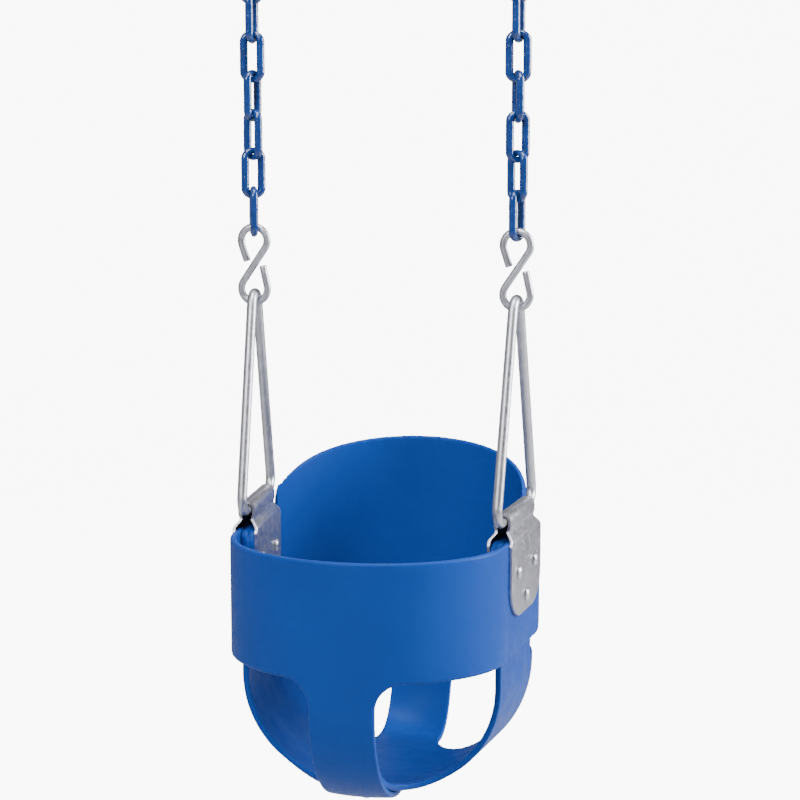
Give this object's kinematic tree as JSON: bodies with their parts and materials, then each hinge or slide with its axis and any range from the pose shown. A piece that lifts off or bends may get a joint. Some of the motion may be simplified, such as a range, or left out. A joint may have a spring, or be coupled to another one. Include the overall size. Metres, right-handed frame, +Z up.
{
  "type": "toddler bucket swing",
  "caption": "Soft blue bucket seat with leg holes and a raised back, hung by steel brackets, wire triangles, S-hooks and coated chains.",
  "frame": {"origin": "midway between the two points where the top S-hooks bear on the beam fittings", "axes": "+Z up, the child faces -Y, +X is to the right as seen from the front"},
  "size_m": [0.2756, 0.3235, 0.8107],
  "materials": {
    "bucket_sheet": "satin moulded sheet, saturated blue, with polished cut edges",
    "chain_coating": "glossy dipped plastic over steel, darker blue",
    "zinc_steel": "bright zinc plating, satin grey"
  },
  "bodies": {
    "hangers": {"left_top_hook": "zinc_steel", "right_top_hook": "zinc_steel"},
    "bucket": {"front_band": "bucket_sheet", "seat_shell": "bucket_sheet", "seat_rivet_1": "zinc_steel", "seat_rivet_2": "zinc_steel", "left_bracket": "zinc_steel", "left_rivet_1": "zinc_steel", "left_rivet_2": "zinc_steel", "left_rivet_3": "zinc_steel", "right_bracket": "zinc_steel", "right_rivet_1": "zinc_steel", "right_rivet_2": "zinc_steel", "right_rivet_3": "zinc_steel"},
    "right_link_1": {"right_link_1": "chain_coating"},
    "right_link_2": {"right_link_2": "chain_coating"},
    "right_link_3": {"right_link_3": "chain_coating"},
    "right_link_4": {"right_link_4": "chain_coating"},
    "right_link_5": {"right_link_5": "chain_coating"},
    "right_link_6": {"right_link_6": "chain_coating"},
    "right_link_7": {"right_link_7": "chain_coating"},
    "right_s_hook": {"right_s_hook": "zinc_steel"},
    "right_triangle": {"right_triangle": "zinc_steel"},
    "left_link_1": {"left_link_1": "chain_coating"},
    "left_link_2": {"left_link_2": "chain_coating"},
    "left_link_3": {"left_link_3": "chain_coating"},
    "left_link_4": {"left_link_4": "chain_coating"},
    "left_link_5": {"left_link_5": "chain_coating"},
    "left_link_6": {"left_link_6": "chain_coating"},
    "left_link_7": {"left_link_7": "chain_coating"},
    "left_s_hook": {"left_s_hook": "zinc_steel"},
    "left_triangle": {"left_triangle": "zinc_steel"}
  },
  "joints": [
    {"name": "swing", "type": "hinge", "parent": "hangers", "child": "right_link_1", "pos_m": [0.1205, 0, -0.05825], "axis": [1, 0, 0], "range_deg": [-35, 35]},
    {"name": "flex_2", "type": "hinge", "parent": "right_link_1", "child": "right_link_2", "pos_m": [0.1205, 0, -0.09865], "axis": [1, 0, 0], "range_deg": [-5, 5]},
    {"name": "flex_3", "type": "hinge", "parent": "right_link_2", "child": "right_link_3", "pos_m": [0.1205, 0, -0.12705], "axis": [1, 0, 0], "range_deg": [-6, 6]},
    {"name": "flex_4", "type": "hinge", "parent": "right_link_3", "child": "right_link_4", "pos_m": [0.1205, 0, -0.16745], "axis": [1, 0, 0], "range_deg": [-4, 4]},
    {"name": "flex_5", "type": "hinge", "parent": "right_link_4", "child": "right_link_5", "pos_m": [0.1205, 0, -0.19585], "axis": [1, 0, 0], "range_deg": [-4, 4]},
    {"name": "flex_6", "type": "hinge", "parent": "right_link_5", "child": "right_link_6", "pos_m": [0.1205, 0, -0.23325], "axis": [1, 0, 0], "range_deg": [-4, 4]},
    {"name": "flex_7", "type": "hinge", "parent": "right_link_6", "child": "right_link_7", "pos_m": [0.1205, 0, -0.27065], "axis": [1, 0, 0], "range_deg": [-4, 4]},
    {"name": "hook_rock", "type": "hinge", "parent": "right_link_7", "child": "right_s_hook", "pos_m": [0.1205, 0, -0.2986], "axis": [1, 0, 0], "range_deg": [-8, 8]},
    {"name": "sway", "type": "hinge", "parent": "right_s_hook", "child": "right_triangle", "pos_m": [0.1205, 0, -0.3585], "axis": [0, 1, 0], "range_deg": [-12, 12]},
    {"name": "bucket_level", "type": "hinge", "parent": "right_triangle", "child": "bucket", "pos_m": [0.1205, 0, -0.54992], "axis": [0, 1, 0], "range_deg": [-12, 12]},
    {"name": "left_swing", "type": "hinge", "parent": "hangers", "child": "left_link_1", "pos_m": [-0.1205, 0, -0.05825], "axis": [1, 0, 0], "range_deg": [-35, 35]},
    {"name": "left_flex_2", "type": "hinge", "parent": "left_link_1", "child": "left_link_2", "pos_m": [-0.1205, 0, -0.09865], "axis": [1, 0, 0], "range_deg": [-5, 5]},
    {"name": "left_flex_3", "type": "hinge", "parent": "left_link_2", "child": "left_link_3", "pos_m": [-0.1205, 0, -0.12705], "axis": [1, 0, 0], "range_deg": [-6, 6]},
    {"name": "left_flex_4", "type": "hinge", "parent": "left_link_3", "child": "left_link_4", "pos_m": [-0.1205, 0, -0.16745], "axis": [1, 0, 0], "range_deg": [-4, 4]},
    {"name": "left_flex_5", "type": "hinge", "parent": "left_link_4", "child": "left_link_5", "pos_m": [-0.1205, 0, -0.19585], "axis": [1, 0, 0], "range_deg": [-4, 4]},
    {"name": "left_flex_6", "type": "hinge", "parent": "left_link_5", "child": "left_link_6", "pos_m": [-0.1205, 0, -0.23325], "axis": [1, 0, 0], "range_deg": [-4, 4]},
    {"name": "left_flex_7", "type": "hinge", "parent": "left_link_6", "child": "left_link_7", "pos_m": [-0.1205, 0, -0.27065], "axis": [1, 0, 0], "range_deg": [-4, 4]},
    {"name": "left_hook_rock", "type": "hinge", "parent": "left_link_7", "child": "left_s_hook", "pos_m": [-0.1205, 0, -0.2986], "axis": [1, 0, 0], "range_deg": [-8, 8]},
    {"name": "left_sway", "type": "hinge", "parent": "left_s_hook", "child": "left_triangle", "pos_m": [-0.1205, 0, -0.3585], "axis": [0, 1, 0], "range_deg": [-12, 12]}
  ],
  "couplings": [
    {"joint": "bucket_level", "follows": "sway", "ratio": -1},
    {"joint": "left_swing", "follows": "swing", "ratio": 1},
    {"joint": "left_flex_2", "follows": "flex_2", "ratio": 1},
    {"joint": "left_flex_3", "follows": "flex_3", "ratio": 1},
    {"joint": "left_flex_4", "follows": "flex_4", "ratio": 1},
    {"joint": "left_flex_5", "follows": "flex_5", "ratio": 1},
    {"joint": "left_flex_6", "follows": "flex_6", "ratio": 1},
    {"joint": "left_flex_7", "follows": "flex_7", "ratio": 1},
    {"joint": "left_hook_rock", "follows": "hook_rock", "ratio": 1},
    {"joint": "left_sway", "follows": "sway", "ratio": 1}
  ]
}
